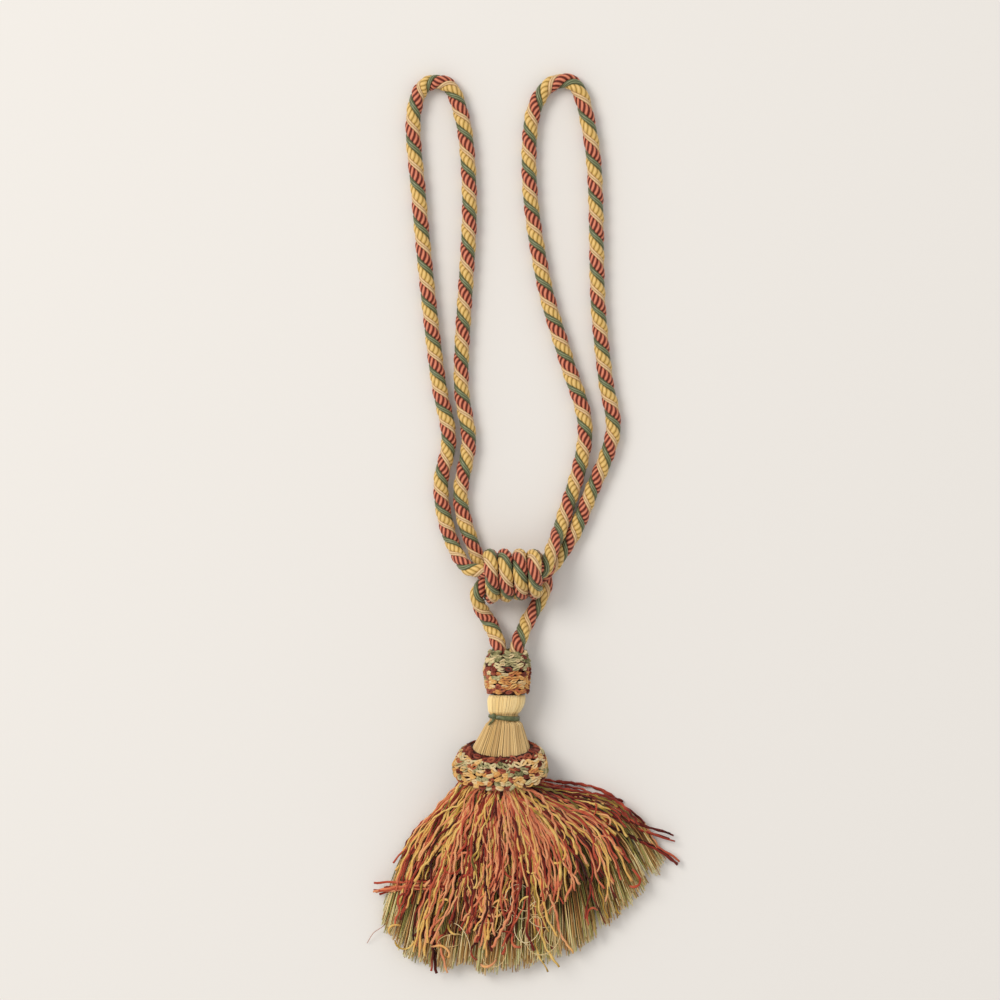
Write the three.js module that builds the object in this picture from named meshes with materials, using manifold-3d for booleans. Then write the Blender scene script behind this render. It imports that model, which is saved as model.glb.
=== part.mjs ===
// Curtain tieback with a tassel: a four-ply rope tied into two curtain loops, and a tassel with two ruffs.
// Units are millimetres. The tieback lies on its back on z = 0, the loops towards +Y, the skirt towards -Y.
// Every place below is measured from the middle of the waist tie. At the end the tassel is centred on the
// origin.
import * as THREE from 'three';
import { mergeVertices } from 'three/addons/utils/BufferGeometryUtils.js';
import Module from 'manifold-3d';

const wasm = await Module();
wasm.setup();

// Driving dimensions.
// The rope is squeezed by its neighbours in the knot, which lies between its foot and its top.
const ROPE = { radius: 6, pitch: 28, step: 6.4, groove: 4.5 };
const SQUEEZE = { keep: 0.835, foot: 86, top: 126, ease: 16 };

// The plies in order round the rope: the share of a turn that each takes, how far it reaches and where its
// crests are.
const PLIES = [
  { name: 'coral', share: 0.37, reach: 6, crests: [0.28, 0.72] },
  { name: 'cream', share: 0.12, reach: 5.4, crests: [0.5] },
  { name: 'gold', share: 0.37, reach: 6, crests: [0.28, 0.72] },
  { name: 'green', share: 0.14, reach: 5.4, crests: [0.5] },
];

// The coil of the knot is wound along X round the two strands that pass through it. One of them lies above the
// other, at the angle tilt: slanted at the coil's left end and nearly upright at its right end.
const COIL = {
  wraps: 4,
  pointsPerWrap: 12,
  pitch: 10.75,
  long: 18.2,
  short: 13.2,
  strandOffset: 6.05,
  lowest: 5.9,
  slant: 0.95,
  slantStep: 0.1,
  left: { x: -9.8, y: 105.4, tilt: 0.84 },
  right: { x: 23, y: 107, tilt: 1.25 },
  through: [-13.5, -4, 8, 20, 28.5],
};

// The rope's centre line where it isn't coiled, as [x, y, z].
const RISE_FROM_HEAD = [
  [9.8, 46.3, 17], [9.8, 52, 17], [17.5, 71, 8.5], [31, 96.5, 6], [29.3, 110, 6], [26.3, 117, 10.8],
];
const LEFT_LOOP = [
  [-32.5, 161, 6], [-26.5, 207.5, 6], [-32, 247, 6], [-26, 391.5, 6], [-32, 451.5, 6], [-42.5, 474.5, 6],
  [-59, 474.5, 6], [-67.5, 455, 6], [-64, 389.5, 6], [-49.5, 253, 6], [-41.5, 207.5, 6],
  [-47.5, 173.5, 6], [-40.5, 134.5, 6], [-27, 111.5, 19],
];
const RIGHT_LOOP = [
  [37, 128.3, 19.5], [44, 146.5, 8.5], [61, 215, 6], [46.5, 268.5, 6], [30.5, 323.5, 6], [19, 405.5, 6],
  [23.5, 458.5, 6], [36.5, 475.5, 6], [52, 475.5, 6], [65.5, 432.5, 6], [71, 305.5, 6], [76.5, 252, 6],
  [82, 214.5, 6], [64.5, 166, 6], [49.5, 132, 7],
];
const DROP_TO_HEAD = [
  [-20, 92.5, 18.8], [-18.3, 82.8, 13.8], [-11.3, 71.3, 9.1], [-3.8, 52, 17], [-3.8, 46.3, 17],
];

// Sections of the tassel down its axis: how far below the waist, its middle, half its width and half its
// thickness.
const BUNDLE = [
  { down: -16.3, x: 2.4, z: 17.2, wide: 13.4, deep: 13.4 },
  { down: -13, x: 1.8, z: 17, wide: 14.4, deep: 14 },
  { down: -8, x: 1.4, z: 17, wide: 13.7, deep: 13.4 },
  { down: -4.2, x: 0.4, z: 17, wide: 12.3, deep: 12.2 },
  { down: -2.6, x: 0, z: 17, wide: 10.6, deep: 10.6 },
  { down: 2.6, x: 0, z: 17, wide: 10.6, deep: 10.6 },
  { down: 4.2, x: 0.2, z: 17.2, wide: 13.3, deep: 12.6 },
  { down: 13, x: -0.8, z: 18, wide: 17, deep: 14.6 },
  { down: 23, x: -2, z: 19.4, wide: 21.4, deep: 15.8 },
  { down: 34, x: -2.2, z: 20.2, wide: 23, deep: 16.3 },
];
const FURROWS = { sides: 28, depth: 0.4 };
const TIE = { half: 2.1, inner: 10.9, outer: 12.1, x: 0, z: 17, sides: 24 };

// Each ruff: rows of knots down its outside, knots in a row, how far a knot stands out, and its profile.
const HEAD_RUFF = {
  rows: 5,
  knots: 16,
  relief: 1.8,
  profile: [
    { down: -46, x: 2.8, z: 17, wide: 13.6, deep: 12.6 },
    { down: -42, x: 2.6, z: 17.2, wide: 16, deep: 15.4 },
    { down: -34, x: 2.3, z: 17.2, wide: 16.6, deep: 16.2 },
    { down: -26, x: 2.4, z: 17.2, wide: 16, deep: 15.8 },
    { down: -16.6, x: 2.8, z: 17.2, wide: 14.2, deep: 14 },
  ],
};
const COLLAR_RUFF = {
  rows: 5,
  knots: 27,
  relief: 2.2,
  profile: [
    { down: 22.5, x: -2, z: 19.8, wide: 23.8, deep: 17.6 },
    { down: 26.5, x: -2.2, z: 20.6, wide: 30, deep: 20.2 },
    { down: 32, x: -2.3, z: 21, wide: 33, deep: 21.3 },
    { down: 37.5, x: -2.6, z: 21, wide: 34.4, deep: 21.4 },
    { down: 42, x: -2.8, z: 21, wide: 34, deep: 20.8 },
  ],
  bore: [
    { down: 42.5, x: -2.4, z: 20.4, wide: 30, deep: 18.6 },
    { down: 39, x: -2.4, z: 20.2, wide: 24.4, deep: 17.4 },
    { down: 34, x: -2.3, z: 20.2, wide: 24.1, deep: 17.3 },
    { down: 23, x: -2.1, z: 19.6, wide: 22.3, deep: 16.6 },
  ],
};
// The tassel lies with its upper side slipped towards the skirt, so past the waist its sections lean back.
const LEAN = { full: 0.5, reached: 30 };

// The skirt's two backings lie inside the collar, a disc inside a ring. Their outlines are shares of one
// ellipse. Strands start at root, inside them.
const BACKING = {
  top: 34.4,
  foot: 40,
  root: 37.5,
  x: -2.4,
  z: 20.2,
  wide: 23.4,
  deep: 16.8,
  disc: 0.75,
  ring: 0.77,
  margin: 1.3,
};

// The fan of the skirt, across from its left edge at -1 to its right edge at 1: its middle and its hem.
const FAN_MIDDLE = [
  { across: -1, x: -69, y: -91 },
  { across: -0.5, x: -37, y: -107 },
  { across: 0, x: 1, y: -115 },
  { across: 0.5, x: 46, y: -100 },
  { across: 1, x: 93, y: -69 },
];
const FAN_HEM = [
  { across: -1, x: -96, y: -158 },
  { across: -0.75, x: -77, y: -184 },
  { across: -0.4, x: -44, y: -195 },
  { across: 0, x: -3, y: -198.5 },
  { across: 0.3, x: 31, y: -192 },
  { across: 0.55, x: 68, y: -173 },
  { across: 0.8, x: 107, y: -138 },
  { across: 1, x: 128, y: -110 },
];
const FAN = { edge: 5, rise: 13.2, hemShare: 0.8, mouth: 49, topLevel: 6 };

// Strands have three sides. half gives half the width and the height of one at its root and at its tip.
const FRINGE = {
  layers: [
    { level: 1, height: -9.6, strands: 9, settled: 0.42, lift: 0 },
    { level: 2, height: -4.8, strands: 13, settled: 0.42, lift: 0 },
    { level: 3, height: 0, strands: 14, settled: 0.42, lift: 0 },
    { level: 4, height: 4.8, strands: 13, settled: 0.42, lift: 0 },
    { level: 5, height: 9.6, strands: 9, settled: 0.42, lift: 0 },
  ],
  half: [{ wide: 0.8, high: 0.7 }, { wide: 3, high: 1.15 }],
  across: 0.9,
  stops: [0, 0.07, 0.32, 0.66, 1],
  wave: 1,
  shortest: 0.93,
};
const CHENILLE = {
  rings: [
    { level: 0, share: 0.87, side: -1, strands: 21, settled: 0.19, lift: 0 },
    { level: 6, share: 0.86, side: 1, strands: 22, settled: 0.5, lift: 0.8 },
    { level: 6, share: 0.945, side: 1, strands: 24, settled: 0.5, lift: 3.6 },
  ],
  half: [{ wide: 0.8, high: 0.7 }, { wide: 2, high: 1.3 }],
  stops: [0, 0.07, 0.24, 0.48, 0.74, 1],
  wave: 1.6,
  shortest: 0.55,
};

const MATERIALS = {
  rope: new THREE.MeshStandardMaterial({ color: '#cfa25a', roughness: 0.8, metalness: 0 }),
  ruff: new THREE.MeshStandardMaterial({ color: '#a8683f', roughness: 0.95, metalness: 0 }),
  yarn: new THREE.MeshStandardMaterial({ color: '#dcc690', roughness: 0.7, metalness: 0 }),
  tie: new THREE.MeshStandardMaterial({ color: '#3f5a3c', roughness: 0.5, metalness: 0 }),
  fringe: new THREE.MeshStandardMaterial({ color: '#9a9a58', roughness: 0.85, metalness: 0 }),
  chenille: new THREE.MeshStandardMaterial({ color: '#c9793f', roughness: 0.95, metalness: 0 }),
};

// ---------------------------------------------------------------- helpers

const mix = THREE.MathUtils.lerp;

// The row of a table at a value between two of its rows, with each column worked out in proportion.
function between(rows, column, value) {
  const found = rows.findIndex((row) => row[column] >= value);
  const next = found < 0 ? rows.length - 1 : Math.max(found, 1);
  const before = rows[next - 1];
  const after = rows[next];
  const share = THREE.MathUtils.clamp((value - before[column]) / (after[column] - before[column]), 0, 1);
  const row = {};
  for (const name of Object.keys(before)) row[name] = mix(before[name], after[name], share);
  return row;
}

// A repeatable stream of numbers from 0 to 1.
function seeded(seed) {
  let state = seed;
  return () => {
    state = (state * 16807) % 2147483647;
    return state / 2147483647;
  };
}

// Moves each point of a three.js shape, none below the floor, and joins the points that its faces share.
function reshape(geometry, move) {
  const position = geometry.attributes.position;
  const point = new THREE.Vector3();
  for (let i = 0; i < position.count; i += 1) {
    point.fromBufferAttribute(position, i);
    const moved = move(point);
    position.setXYZ(i, moved.x, moved.y, Math.max(moved.z, 0));
  }
  geometry.deleteAttribute('normal');
  geometry.deleteAttribute('uv');
  return mergeVertices(geometry, 1e-3);
}

// A closed bar. place gets the angle round it, the share along it from its top, and 0 at its axis or 1.
function bar(sides, steps, place) {
  const cylinder = new THREE.CylinderGeometry(1, 1, 1, sides, steps);
  return reshape(cylinder, (p) => {
    const radius = Math.round(Math.hypot(p.x, p.z));
    return place(Math.atan2(p.x, p.z), 0.5 - p.y, radius);
  });
}

// The number of the corner at an angle, of so many corners all round.
function cornerAt(angle, corners) {
  return Math.round((angle / (2 * Math.PI) + 1) * corners) % corners;
}

// A closed ring. place gets the angle round it and the corner of its section, from the outside's top down.
function ring(around, corners, place) {
  const torus = new THREE.TorusGeometry(1, 0.25, corners, around);
  return reshape(torus, (p) => {
    const outward = Math.hypot(p.x, p.y) - 1;
    return place(Math.atan2(p.y, p.x), cornerAt(Math.atan2(p.z, outward), corners));
  });
}

// A point of the tassel, given down from the waist along its axis.
function inTassel(down, x, z, middle) {
  const lean = LEAN.full * THREE.MathUtils.clamp(down / LEAN.reached, 0, 1);
  return new THREE.Vector3(x, -down - lean * (z - middle), z);
}

// A point of the elliptical section that a row gives, at a share of its radius and a stand-out from it.
function onEllipse(row, cos, sin, radius, standOut) {
  const x = row.x + (row.wide * radius + standOut) * cos;
  const z = row.z + (row.deep * radius + standOut) * sin;
  return inTassel(row.down, x, z, row.z);
}

function manifold(geometry) {
  const vertProperties = new Float32Array(geometry.attributes.position.array);
  const triVerts = new Uint32Array(geometry.index.array);
  return new wasm.Manifold(new wasm.Mesh({ numProp: 3, vertProperties, triVerts }));
}

function joined(geometries) {
  const solid = geometries.map(manifold).reduce((whole, one) => whole.add(one));
  const mesh = solid.getMesh();
  const geometry = new THREE.BufferGeometry();
  geometry.setAttribute('position', new THREE.BufferAttribute(mesh.vertProperties, 3));
  geometry.setIndex(new THREE.BufferAttribute(mesh.triVerts, 1));
  return geometry;
}

function piece(name, geometry, material) {
  const mesh = new THREE.Mesh(geometry, material);
  mesh.name = name;
  return mesh;
}

// ---------------------------------------------------------------- rope

// The middle and the tilt of the coil at a place along it.
function coilAt(x) {
  const share = (x - COIL.left.x) / (COIL.right.x - COIL.left.x);
  const tilt = mix(COIL.left.tilt, COIL.right.tilt, share);
  const halfHeight = Math.hypot(COIL.long * Math.sin(tilt), COIL.short * Math.cos(tilt));
  return { y: mix(COIL.left.y, COIL.right.y, share), z: COIL.lowest + halfHeight, tilt };
}

// A point of the winding. Each wrap starts on top, comes down the front and goes up behind to the next one.
function winding(turn) {
  const wrap = Math.floor(turn);
  const angle = (turn - wrap) * 2 * Math.PI;
  const slant = COIL.slant + wrap * COIL.slantStep;
  const behind = Math.max(angle / Math.PI - 1, 0) * (COIL.pitch + 2 * slant + COIL.slantStep);
  const x = COIL.right.x - wrap * COIL.pitch - slant * Math.cos(Math.min(angle, Math.PI)) - behind;
  const at = coilAt(x);
  const off = angle - at.tilt;
  const stretch = Math.hypot(COIL.short * Math.cos(off), COIL.long * Math.sin(off));
  const radius = (COIL.long * COIL.short) / stretch;
  return [x, at.y + radius * Math.cos(angle), at.z + radius * Math.sin(angle)];
}

// A point of one of the two strands that pass through the coil: side is 1 for the upper, -1 for the lower.
function throughCoil(x, side) {
  const at = coilAt(x);
  const offset = side * COIL.strandOffset;
  return [x, at.y + offset * Math.cos(at.tilt), at.z + offset * Math.sin(at.tilt)];
}

function ropeRoute() {
  const wound = [];
  const lastPoint = (COIL.wraps - 0.25) * COIL.pointsPerWrap;
  for (let i = 0; i <= lastPoint; i += 1) wound.push(winding(i / COIL.pointsPerWrap));
  const upper = COIL.through.map((x) => throughCoil(x, 1));
  const lower = COIL.through.map((x) => throughCoil(x, -1)).reverse();
  const outward = [...RISE_FROM_HEAD, ...wound, ...LEFT_LOOP];
  const route = [...outward, ...upper, ...RIGHT_LOOP, ...lower, ...DROP_TO_HEAD];
  return route.map(([x, y, z]) => new THREE.Vector3(x, y, z));
}

// The section of the rope: the crests of its plies and the grooves between them.
function ropeSection() {
  const section = [];
  let start = 0;
  for (const ply of PLIES) {
    section.push({ turn: start, reach: ROPE.groove });
    for (const crest of ply.crests) section.push({ turn: start + ply.share * crest, reach: ply.reach });
    start += ply.share;
  }
  return section;
}

// How much of its full radius the rope keeps: in the knot its turns press on each other.
function squeezeAt(y) {
  const { keep, foot, top, ease } = SQUEEZE;
  const below = THREE.MathUtils.smoothstep(y, foot - ease, foot);
  const above = 1 - THREE.MathUtils.smoothstep(y, top, top + ease);
  return mix(1, keep, below * above);
}

function rope() {
  const curve = new THREE.CatmullRomCurve3(ropeRoute());
  curve.arcLengthDivisions = 4000;
  const length = curve.getLength();
  const steps = Math.round(length / ROPE.step);
  const frames = curve.computeFrenetFrames(steps, false);
  const section = ropeSection();
  const geometry = bar(section.length, steps, (angle, along, radius) => {
    const i = Math.round(along * steps);
    const corner = section[cornerAt(angle, section.length)];
    const twist = 2 * Math.PI * (corner.turn + (along * length) / ROPE.pitch);
    const point = curve.getPointAt(i / steps);
    const keep = squeezeAt(point.y);
    point.z = Math.max(point.z, ROPE.radius * keep);
    return point
      .addScaledVector(frames.normals[i], radius * corner.reach * keep * Math.sin(twist))
      .addScaledVector(frames.binormals[i], radius * corner.reach * keep * Math.cos(twist));
  });
  return piece('rope', geometry, MATERIALS.rope);
}

// ---------------------------------------------------------------- tassel

// Knots lie in staggered rows. Columns and rows are counted in half knots, so that each knot is a raised
// corner with low corners all round it.
function knotRelief(relief, column, row) {
  const isKnotRow = row % 2 === 1;
  const stagger = (row - 1) / 2;
  return isKnotRow && (column + stagger) % 2 === 0 ? relief : 0;
}

function headRuff() {
  const { rows, knots, relief, profile } = HEAD_RUFF;
  const ends = [profile[0].down, profile[profile.length - 1].down];
  const steps = rows * 2;
  const geometry = bar(knots * 2, steps, (angle, along, radius) => {
    const row = between(profile, 'down', mix(ends[0], ends[1], along));
    const knot = radius * knotRelief(relief, cornerAt(angle, knots * 2), Math.round(along * steps));
    return onEllipse(row, Math.sin(angle), Math.cos(angle), radius, knot);
  });
  return piece('head_ruff', geometry, MATERIALS.ruff);
}

function yarnBundle() {
  const { sides, depth } = FURROWS;
  const steps = BUNDLE.length - 1;
  const geometry = bar(sides, steps, (angle, along, radius) => {
    const furrow = radius * (cornerAt(angle, sides) % 2) * depth;
    return onEllipse(BUNDLE[Math.round(along * steps)], Math.sin(angle), Math.cos(angle), radius, -furrow);
  });
  return piece('yarn_bundle', geometry, MATERIALS.yarn);
}

// A ring whose section has the corners that the rows give.
function band(around, rows) {
  return ring(around, rows.length, (turn, corner) => {
    return onEllipse(rows[corner], Math.cos(turn), Math.sin(turn), 1, 0);
  });
}

function waistTie() {
  const { half, inner, outer, x, z, sides } = TIE;
  const corners = [[-half, outer], [half, outer], [half, inner], [-half, inner]];
  const rows = corners.map(([down, reach]) => ({ down, x, z, wide: reach, deep: reach }));
  return piece('waist_tie', band(sides, rows), MATERIALS.tie);
}

function collarRuff() {
  const { rows, knots, relief, profile, bore } = COLLAR_RUFF;
  const ends = [profile[0].down, profile[profile.length - 1].down];
  const outside = rows * 2;
  const corners = outside + 1 + bore.length;
  const geometry = ring(knots * 2, corners, (turn, corner) => {
    if (corner > outside) return onEllipse(bore[corner - outside - 1], Math.cos(turn), Math.sin(turn), 1, 0);
    const row = between(profile, 'down', mix(ends[0], ends[1], corner / outside));
    const knot = knotRelief(relief, cornerAt(turn, knots * 2), corner);
    return onEllipse(row, Math.cos(turn), Math.sin(turn), 1, knot);
  });
  return piece('collar_ruff', geometry, MATERIALS.ruff);
}

// ---------------------------------------------------------------- skirt

// How high the top of the settled skirt is, at a place across it and a share of the way to its hem.
function skirtTop(across, along) {
  const dome = FAN.rise * Math.sqrt(Math.max(1 - across ** 4, 0));
  return FAN.edge + dome * mix(1, FAN.hemShare, along);
}

// One strand, from its root in the backing out to its place in the fan.
function strand(root, across, layer, kind, random) {
  const middle = between(FAN_MIDDLE, 'across', across);
  const hem = between(FAN_HEM, 'across', across);
  const start = inTassel(BACKING.root, root.x, root.z, BACKING.z);
  const mouth = inTassel(FAN.mouth, root.x * 1.04, root.z, BACKING.z);
  const way = new THREE.CatmullRomCurve3([
    start,
    mouth,
    new THREE.Vector3(middle.x, middle.y, root.z),
    new THREE.Vector3(hem.x, hem.y, root.z),
  ]);
  const reach = mix(kind.shortest, 1, random());
  const phase = random() * 2 * Math.PI;
  const waves = mix(1.2, 2.2, random());
  const centre = (along) => {
    const point = way.getPointAt(along * reach);
    const high = mix(kind.half[0].high, kind.half[1].high, along);
    const bottom = high / 2;
    const settled = mix(bottom, skirtTop(across, along * reach), layer.level / FAN.topLevel) + layer.lift;
    const lowered = THREE.MathUtils.smoothstep(along * reach, 0.04, layer.settled);
    point.z = Math.max(mix(root.z, settled, lowered), bottom);
    point.x += kind.wave * along * Math.sin(phase + waves * along * 2 * Math.PI);
    return point;
  };
  const up = new THREE.Vector3(0, 0, 1);
  const steps = kind.stops.length - 1;
  const nudge = 0.01;
  return bar(3, steps, (angle, share, radius) => {
    const along = kind.stops[Math.round(share * steps)];
    const tangent = centre(Math.min(along + nudge, 1)).sub(centre(Math.max(along - nudge, 0))).normalize();
    const side = new THREE.Vector3().crossVectors(up, tangent).normalize();
    const above = new THREE.Vector3().crossVectors(tangent, side);
    const wide = mix(kind.half[0].wide, kind.half[1].wide, along);
    const high = mix(kind.half[0].high, kind.half[1].high, along);
    return centre(along)
      .addScaledVector(side, radius * wide * Math.sin(angle))
      .addScaledVector(above, radius * high * Math.cos(angle));
  });
}

function backingRow(down, share) {
  return { down, x: BACKING.x, z: BACKING.z, wide: BACKING.wide * share, deep: BACKING.deep * share };
}

function fringeSkirt() {
  const random = seeded(4271);
  const disc = bar(28, 1, (angle, along, radius) => {
    const row = backingRow(mix(BACKING.top, BACKING.foot, along), BACKING.disc);
    return onEllipse(row, Math.sin(angle), Math.cos(angle), radius, 0);
  });
  const parts = [disc];
  for (const layer of FRINGE.layers) {
    const share = layer.height / (BACKING.deep * BACKING.disc);
    const halfChord = BACKING.wide * BACKING.disc * Math.sqrt(1 - share * share) - BACKING.margin;
    for (let i = 0; i < layer.strands; i += 1) {
      const place = (2 * (i + 0.5)) / layer.strands - 1;
      const root = { x: BACKING.x + place * halfChord, z: BACKING.z + layer.height };
      parts.push(strand(root, place * FRINGE.across, layer, FRINGE, random));
    }
  }
  return piece('fringe_skirt', joined(parts), MATERIALS.fringe);
}

function chenilleSkirt() {
  const random = seeded(90731);
  const { top, foot } = BACKING;
  const outer = [backingRow(top, 1), backingRow(foot, 1)];
  const inner = [backingRow(foot, BACKING.ring), backingRow(top, BACKING.ring)];
  const parts = [band(32, [...outer, ...inner])];
  for (const layer of CHENILLE.rings) {
    for (let i = 0; i < layer.strands; i += 1) {
      const place = (2 * (i + 0.5)) / layer.strands - 1;
      const turn = (Math.PI / 2) * (1 - place) * layer.side;
      const root = {
        x: BACKING.x + BACKING.wide * layer.share * Math.cos(turn),
        z: BACKING.z + BACKING.deep * layer.share * Math.sin(turn),
      };
      parts.push(strand(root, place, layer, CHENILLE, random));
    }
  }
  return piece('chenille_skirt', joined(parts), MATERIALS.chenille);
}

// ---------------------------------------------------------------- assembly

const tieback = new THREE.Group();
const tassel = [headRuff(), yarnBundle(), waistTie(), collarRuff(), fringeSkirt(), chenilleSkirt()];
tieback.add(...tassel, rope());

const box = new THREE.Box3();
for (const mesh of tassel) box.expandByObject(mesh);
const centre = box.getCenter(new THREE.Vector3());
tieback.position.set(-centre.x, -centre.y, 0);

export default tieback;
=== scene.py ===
"""Curtain tieback: a four-ply furnishing rope knotted into two loops, and a yarn tassel, lying flat.

Every length in a table is in millimetres. The tables of places are measured from the middle of the waist tie,
as the solids are, with x to the right, y towards the loops and z up from the surface.
"""
import math

import bmesh
import bpy
import numpy as np
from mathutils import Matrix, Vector

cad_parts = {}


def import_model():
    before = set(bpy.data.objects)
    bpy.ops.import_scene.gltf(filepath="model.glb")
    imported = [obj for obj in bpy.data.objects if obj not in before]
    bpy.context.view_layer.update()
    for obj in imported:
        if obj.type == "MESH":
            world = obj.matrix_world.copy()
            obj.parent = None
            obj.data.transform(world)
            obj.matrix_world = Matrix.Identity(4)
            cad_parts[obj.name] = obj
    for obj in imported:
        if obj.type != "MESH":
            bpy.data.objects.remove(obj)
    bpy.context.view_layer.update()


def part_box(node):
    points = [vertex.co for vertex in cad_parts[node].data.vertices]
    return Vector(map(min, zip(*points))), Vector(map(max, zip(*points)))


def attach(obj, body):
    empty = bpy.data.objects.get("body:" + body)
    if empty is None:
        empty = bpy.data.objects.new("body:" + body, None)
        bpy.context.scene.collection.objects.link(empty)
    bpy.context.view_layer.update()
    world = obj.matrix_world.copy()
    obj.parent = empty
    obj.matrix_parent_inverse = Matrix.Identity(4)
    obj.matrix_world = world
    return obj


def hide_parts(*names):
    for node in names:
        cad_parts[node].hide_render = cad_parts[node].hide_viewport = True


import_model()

MM = 0.001
TAU = 2 * math.pi

# The middle of the waist tie in the row frame. The tassel leans from here down, so the tie's upper edge is
# measured, and half the tie's height is taken off.
TIE_HALF = 2.1
tie_low, tie_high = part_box("waist_tie")
WAIST = np.array([(tie_low.x + tie_high.x) / 2 / MM, tie_high.y / MM - TIE_HALF, 0.0])


# ---------------------------------------------------------------- small helpers


def smoothstep(value, low, high):
    share = np.clip((value - low) / (high - low), 0, 1)
    return share * share * (3 - 2 * share)


def mix(first, second, share):
    return first + (second - first) * share


def unit(vectors):
    return vectors / np.maximum(np.linalg.norm(vectors, axis=-1, keepdims=True), 1e-9)


def spline(points, per_span):
    """Centripetal Catmull-Rom curves through points, an array of [curve, point, xyz]."""
    points = np.asarray(points, float)
    before = 2 * points[:, :1] - points[:, 1:2]
    after = 2 * points[:, -1:] - points[:, -2:-1]
    points = np.concatenate([before, points, after], axis=1)
    at = np.linspace(0, 1, per_span, endpoint=False)[None, :, None]
    spans = []
    for i in range(points.shape[1] - 3):
        a, b, c, d = (points[:, None, i + k] for k in range(4))
        gaps = [np.maximum(np.linalg.norm(q - p, axis=-1, keepdims=True), 1e-6) ** 0.5
                for p, q in ((a, b), (b, c), (c, d))]
        first = ((b - a) / gaps[0] - (c - a) / (gaps[0] + gaps[1]) + (c - b) / gaps[1]) * gaps[1]
        second = ((c - b) / gaps[1] - (d - b) / (gaps[1] + gaps[2]) + (d - c) / gaps[2]) * gaps[1]
        square = -3 * b + 3 * c - 2 * first - second
        cube = 2 * b - 2 * c + first + second
        spans.append(b + first * at + square * at ** 2 + cube * at ** 3)
    spans.append(points[:, -2:-1])
    return np.concatenate(spans, axis=1)


def runs(line):
    """How far along its curve each point is. line is [curve, point, xyz]."""
    steps = np.linalg.norm(np.diff(line, axis=1), axis=2)
    return np.concatenate([np.zeros((len(line), 1)), np.cumsum(steps, axis=1)], axis=1)


def along(line, places):
    """The points at shares of the length of each curve, and the lengths. line is [curve, point, xyz]."""
    run = runs(line)
    made = np.empty((len(line), places.shape[1], 3))
    for i in range(len(line)):
        for k in range(3):
            made[i, :, k] = np.interp(places[i] * run[i, -1], run[i], line[i, :, k])
    return made, run[:, -1]


def placed(name, data):
    """A new object for this data, in the scene."""
    made = bpy.data.objects.new(name, data)
    bpy.context.scene.collection.objects.link(made)
    return made


# ---------------------------------------------------------------- camera

# The camera sees a square 750 mm wide at the level of the rope's and the tassel's upper sides. Its middle is
# left of the waist tie's and above it.
FRAME_WIDTH = 750
FRAME_MIDDLE = (-3.0, 162.4)
FRAME_LEVEL = 15
LENS = 200
SENSOR = 36


def camera():
    data = bpy.data.cameras.new("camera")
    data.lens = LENS
    data.sensor_width = SENSOR
    data.clip_end = 20
    made = placed("camera", data)
    middle = WAIST[:2] + FRAME_MIDDLE
    made.location = Vector((*middle, FRAME_LEVEL + FRAME_WIDTH * LENS / SENSOR)) * MM
    bpy.context.scene.camera = made


camera()


# ---------------------------------------------------------------- rope route

ROPE_DIAMETER = 12
ROPE_RADIUS = ROPE_DIAMETER / 2
# In the knot, from its foot to its top, the rope keeps this share of its radius. It eases in and out of that.
SQUEEZE = {"keep": 0.93, "foot": 86, "top": 126, "ease": 16}

# The route in order is up from the tassel's head, round the coil from right to left, round the left loop,
# through the coil, round the right loop, back through the coil and down to the head.
RISE_FROM_HEAD = [
    (9.8, 46.3, 17), (9.8, 52, 17), (17.5, 71, 8.5), (31, 96.5, 6), (29.3, 110, 6), (26.3, 117, 10.8),
]
# The coil has turns of so many points, a pitch apart, on a tilted oval with a long and a short radius. lowest
# is how low the rope's middle comes. Each winding's front is aslant, by slant_step more than the last. x, y
# and tilt are the coil's at its left and right ends. Two strands pass through it, either side of its middle.
COIL = {
    "turns": 3.75, "points": 12, "pitch": 10.75, "long": 18.2, "short": 13.2, "lowest": 5.9,
    "slant": 0.95, "slant_step": 0.1, "x": (-9.8, 23), "y": (105.4, 107), "tilt": (0.84, 1.25),
    "strand": 6.05, "through": (-13.5, -4, 8, 20, 28.5),
}
LEFT_LOOP = [
    (-32.5, 161, 6), (-26.5, 207.5, 6), (-32, 247, 6), (-26, 391.5, 6), (-32, 451.5, 6),
    (-42.5, 474.5, 6), (-59, 474.5, 6), (-67.5, 455, 6), (-64, 389.5, 6), (-49.5, 253, 6),
    (-41.5, 207.5, 6), (-47.5, 173.5, 6), (-40.5, 134.5, 6), (-27, 111.5, 19),
]
RIGHT_LOOP = [
    (37, 128.3, 19.5), (44, 146.5, 8.5), (61, 215, 6), (46.5, 268.5, 6), (30.5, 323.5, 6), (19, 405.5, 6),
    (23.5, 458.5, 6), (36.5, 475.5, 6), (52, 475.5, 6), (65.5, 432.5, 6), (71, 305.5, 6), (76.5, 252, 6),
    (82, 214.5, 6), (64.5, 166, 6), (49.5, 132, 7),
]
DROP_TO_HEAD = [
    (-20, 92.5, 18.8), (-18.3, 82.8, 13.8), (-11.3, 71.3, 9.1), (-3.8, 52, 17), (-3.8, 46.3, 17),
]
# Points worked out between two of the route's places, and even steps of 0.4 mm or so along the whole rope.
SPAN_POINTS = 60
ROPE_STEPS = 5600


def coil_at(x):
    """The middle and the tilt of the knot's coil at a place along it."""
    share = (x - COIL["x"][0]) / (COIL["x"][1] - COIL["x"][0])
    tilt = mix(*COIL["tilt"], share)
    height = math.hypot(COIL["long"] * math.sin(tilt), COIL["short"] * math.cos(tilt))
    return mix(*COIL["y"], share), COIL["lowest"] + height, tilt


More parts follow.
